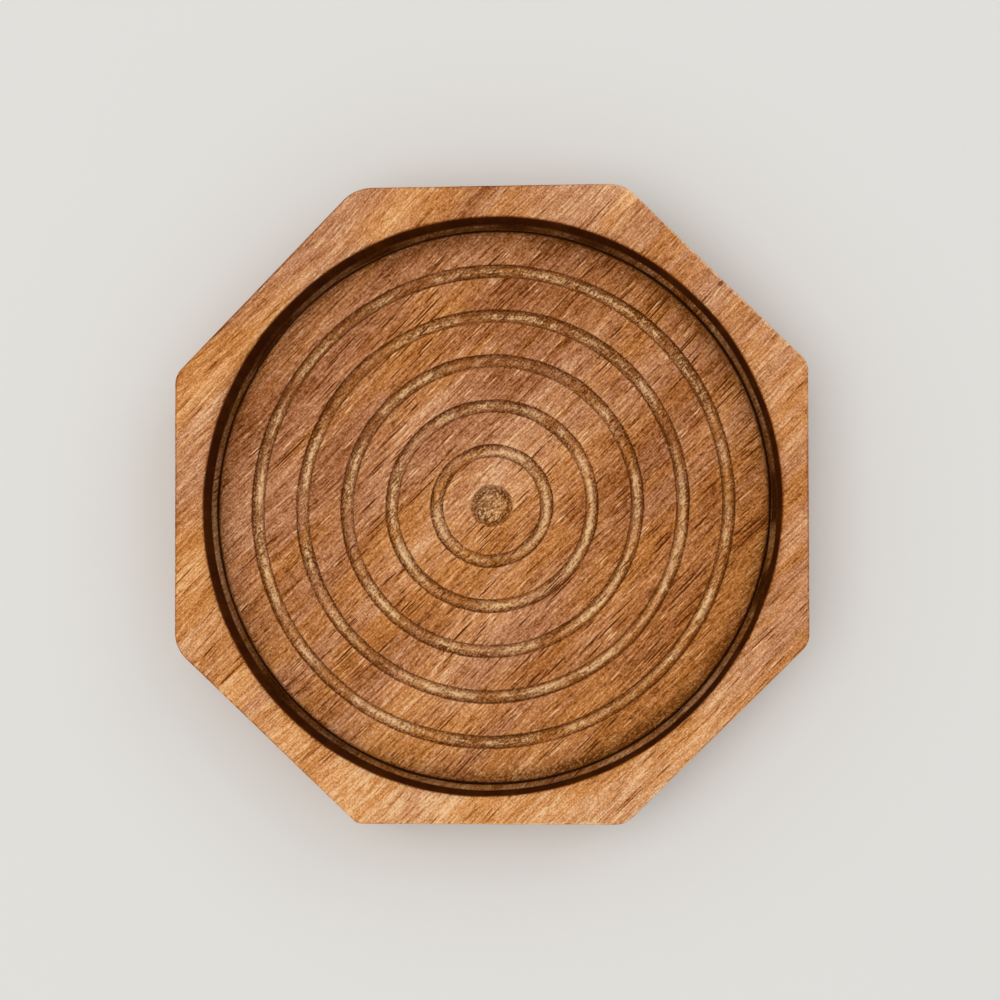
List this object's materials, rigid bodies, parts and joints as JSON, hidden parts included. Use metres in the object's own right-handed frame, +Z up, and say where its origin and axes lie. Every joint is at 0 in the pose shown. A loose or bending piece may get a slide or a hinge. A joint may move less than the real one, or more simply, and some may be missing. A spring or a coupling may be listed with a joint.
{
  "type": "drink coaster",
  "caption": "Eight-sided wooden drink coaster with a round well, concentric ring grooves in its floor, a drip moat along the wall and rubber feet underneath.",
  "frame": {"origin": "on the table, under the middle of the board", "axes": "+Z up out of the well, +X to the right of the picture, +Y towards its top"},
  "size_m": [0.1, 0.1, 0.014],
  "materials": {
    "wood": "satin",
    "rubber": "matte",
    "adhesive": "satin"
  },
  "bodies": {
    "root": {"board": "wood", "foot_front_left": "rubber", "foot_front_right": "rubber", "foot_back_left": "rubber", "foot_back_right": "rubber", "adhesive_front_left": "adhesive", "adhesive_front_right": "adhesive", "adhesive_back_left": "adhesive", "adhesive_back_right": "adhesive"}
  },
  "joints": []
}
